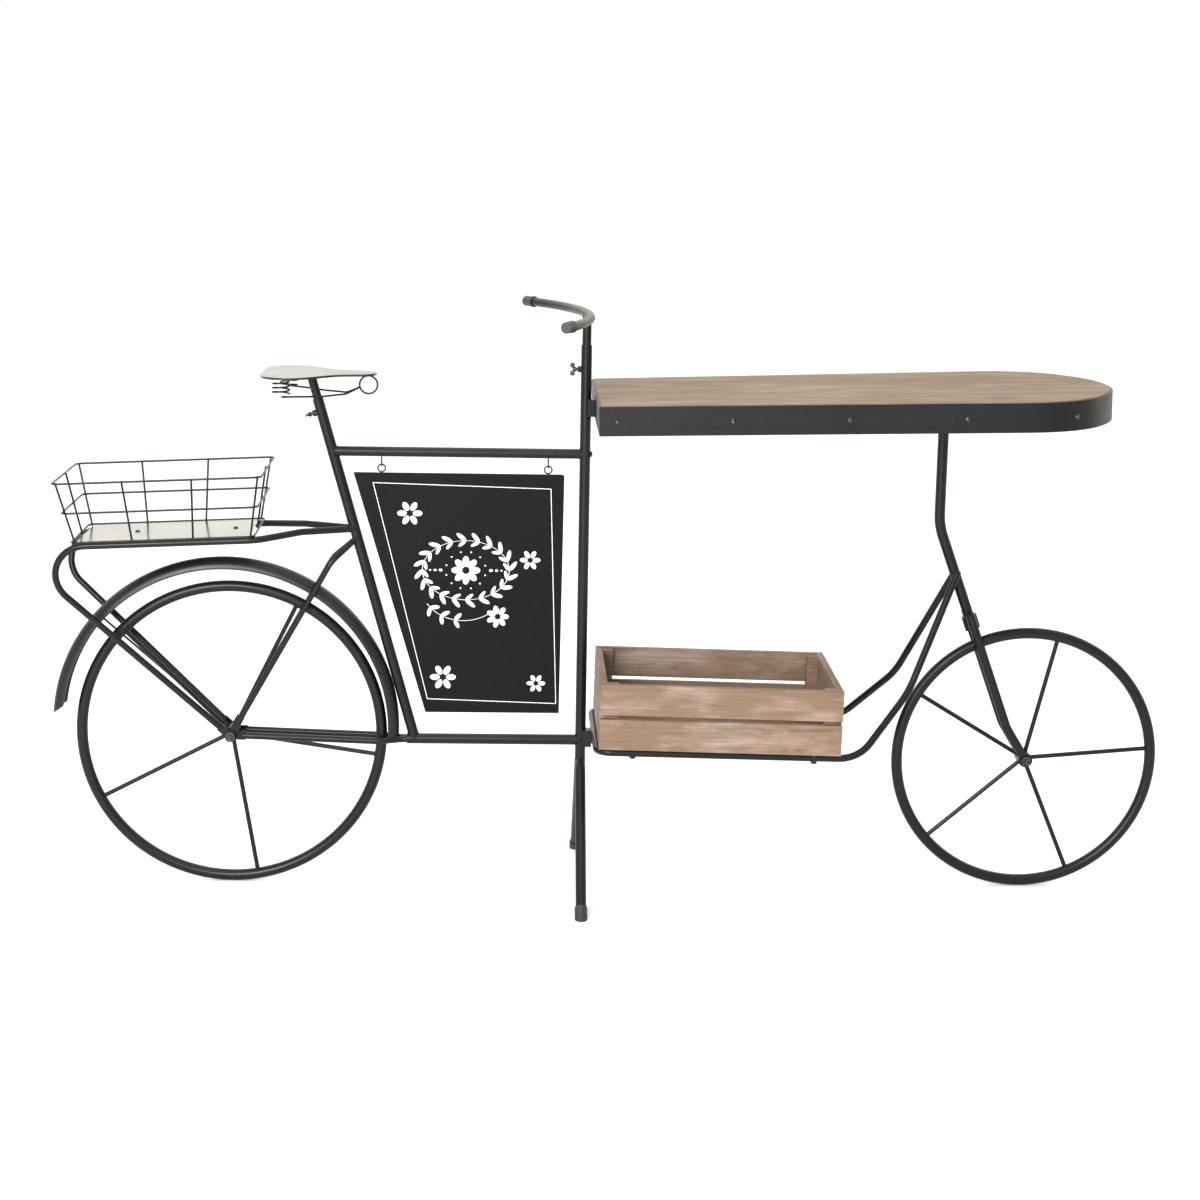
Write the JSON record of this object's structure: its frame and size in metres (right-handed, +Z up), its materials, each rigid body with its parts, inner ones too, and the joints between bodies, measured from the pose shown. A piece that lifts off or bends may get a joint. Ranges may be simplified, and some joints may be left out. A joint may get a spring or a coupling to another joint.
{
  "type": "bicycle-shaped display table",
  "caption": "Free-standing bicycle-shaped metal display table with ring wheels, wire basket, saddle, handlebar, hanging sign, banded wood top and wood crate on a tray.",
  "frame": {"origin": "bottom centre of the whole object's box, on the floor", "axes": "+X towards the front wheel, +Z up, -Y the near side, the one the sign and the table band are read from; the frame's middle plane is Y = 0"},
  "size_m": [2.0106, 0.5628, 1.0552],
  "materials": {
    "frame_black": "satin black coated steel",
    "wheel_black": "satin black coated steel",
    "wire_black": "satin black coated wire",
    "sheet_black": "satin black coated sheet",
    "bolt_black": "black coated fasteners",
    "table_wood": "rough sawn weathered planks",
    "crate_wood": "rough sawn weathered boards",
    "foot_rubber": "black rubber",
    "grip_plastic": "black plastic end caps",
    "guide_plastic": "dark plastic guides",
    "sign_black": "matt black sheet with a pale printed ornament"
  },
  "bodies": {
    "frame": {"seat_tube": "frame_black", "top_tube": "frame_black", "bottom_tube": "frame_black", "main_post": "frame_black", "post_bolts": "bolt_black", "chain_stays": "frame_black", "seat_stays": "frame_black", "rack_tube_near": "frame_black", "rack_tube_far": "frame_black", "rack_straps": "frame_black", "mudguard": "sheet_black", "mudguard_stays": "frame_black", "rear_axle": "bolt_black", "rear_axle_nuts": "bolt_black", "front_axle": "bolt_black", "front_axle_nuts": "bolt_black", "front_support": "frame_black", "support_plate": "frame_black", "fork_crown": "frame_black", "fork_blades": "frame_black", "stand_legs": "frame_black", "foot_caps": "foot_rubber", "basket_rim": "wire_black", "basket_middle_wire": "wire_black", "basket_base_wire": "wire_black", "basket_uprights": "wire_black", "basket_floor": "sheet_black", "basket_screws": "bolt_black", "sign_hooks": "wire_black", "table_planks": "table_wood", "table_battens": "table_wood", "table_band": "frame_black", "band_bolts": "bolt_black", "table_bracket": "frame_black", "table_bracket_bolt": "frame_black", "tray_rail_near": "frame_black", "tray_rail_far": "frame_black", "tray_bracket": "frame_black", "tray_bolts": "bolt_black", "crate_sides": "crate_wood", "crate_ends": "crate_wood"},
    "rear_wheel": {"rear_ring": "wheel_black", "rear_spokes": "wheel_black", "rear_hub": "wheel_black"},
    "front_wheel": {"front_ring": "wheel_black", "front_spokes": "wheel_black", "front_hub": "wheel_black"},
    "sign": {"sign_board": "sign_black", "sign_eyelets": "wire_black"},
    "seat_guide": {"seat_guide": "guide_plastic"},
    "seat": {"seat_post": "frame_black", "saddle_plate": "sheet_black", "saddle_rails": "wire_black", "saddle_springs": "wire_black"},
    "stem_guide": {"stem_guide": "guide_plastic"},
    "handlebar": {"handlebar_stem": "frame_black", "handlebar": "frame_black", "handlebar_caps": "grip_plastic"},
    "seat_screw": {"seat_wing_screw": "bolt_black"},
    "stem_screw": {"stem_wing_screw": "bolt_black"}
  },
  "joints": [
    {"name": "rear_wheel_spin", "type": "hinge", "parent": "frame", "child": "rear_wheel", "pos_m": [-0.68425, 0, 0.28], "axis": [0, 1, 0], "continuous": true},
    {"name": "front_wheel_spin", "type": "hinge", "parent": "frame", "child": "front_wheel", "pos_m": [0.76175, 0, 0.244], "axis": [0, 1, 0], "continuous": true},
    {"name": "sign_swing", "type": "hinge", "parent": "frame", "child": "sign", "pos_m": [-0.26425, 0, 0.7732], "axis": [1, 0, 0], "range_deg": [-75, 75]},
    {"name": "stem_slide", "type": "slide", "parent": "frame", "child": "stem_guide", "axis": [0, 0, 1], "range_m": [0, 0.06]},
    {"name": "handlebar_turn", "type": "hinge", "parent": "stem_guide", "child": "handlebar", "pos_m": [-0.05325, 0, 0.9], "axis": [0, 0, 1], "range_deg": [-60, 60]},
    {"name": "seat_slide", "type": "slide", "parent": "frame", "child": "seat_guide", "axis": [-0.2689, 0, 0.9632], "range_m": [0, 0.06]},
    {"name": "seat_turn", "type": "hinge", "parent": "seat_guide", "child": "seat", "pos_m": [-0.50195, 0, 0.8], "axis": [-0.2689, 0, 0.9632], "range_deg": [-60, 60]},
    {"name": "stem_screw_turn", "type": "hinge", "parent": "frame", "child": "stem_screw", "pos_m": [-0.07425, 0, 0.947], "axis": [-1, 0, 0], "range_deg": [0, 360]},
    {"name": "seat_screw_turn", "type": "hinge", "parent": "frame", "child": "seat_screw", "pos_m": [-0.53964, 0, 0.86062], "axis": [-0.9632, 0, -0.2689], "range_deg": [0, 360]}
  ]
}
